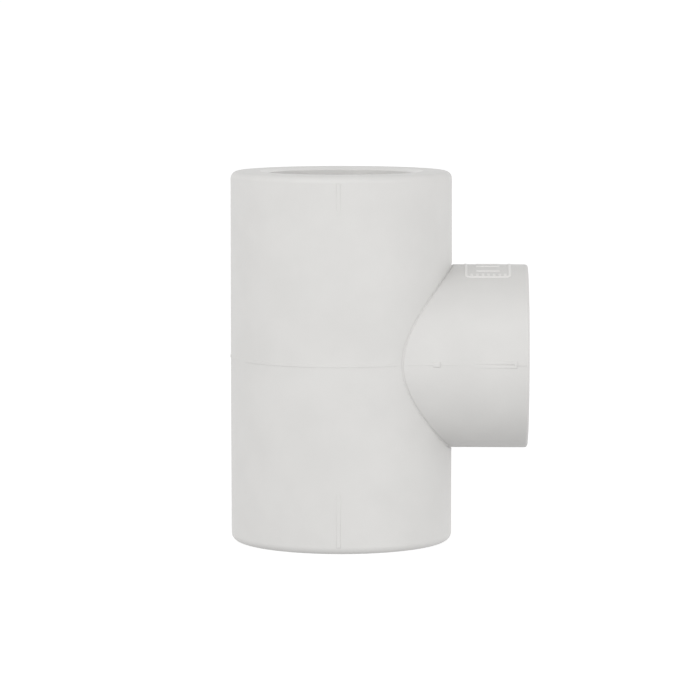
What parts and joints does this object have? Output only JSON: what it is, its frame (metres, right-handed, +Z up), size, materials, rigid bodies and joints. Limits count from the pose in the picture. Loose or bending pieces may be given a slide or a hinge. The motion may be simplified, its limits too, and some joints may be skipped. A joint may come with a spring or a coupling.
{
  "type": "pipe tee fitting",
  "caption": "Reducing pipe tee for socket fusion: an upright run with a socket at each end and a smaller socket branching off at right angles, moulded in pale grey plastic.",
  "frame": {"origin": "centre of the lower socket's rim, on the run's axis, so that the fitting stands on Z = 0", "axes": "+Z up the run to the upper socket's mouth, +X out along the branch to its mouth"},
  "size_m": [0.0484, 0.0362, 0.0602],
  "materials": {
    "moulded_polypropylene": "satin",
    "raised_marks": "satin"
  },
  "bodies": {
    "root": {"tee_junction": "moulded_polypropylene", "upper_socket": "moulded_polypropylene", "lower_socket": "moulded_polypropylene", "branch_socket": "moulded_polypropylene", "upper_alignment_ribs": "raised_marks", "lower_alignment_ribs": "raised_marks", "branch_alignment_ribs": "raised_marks", "parting_line": "raised_marks", "gate_vestige": "raised_marks", "label_frame": "raised_marks", "label_bars": "raised_marks", "label_ticks": "raised_marks"}
  },
  "joints": []
}
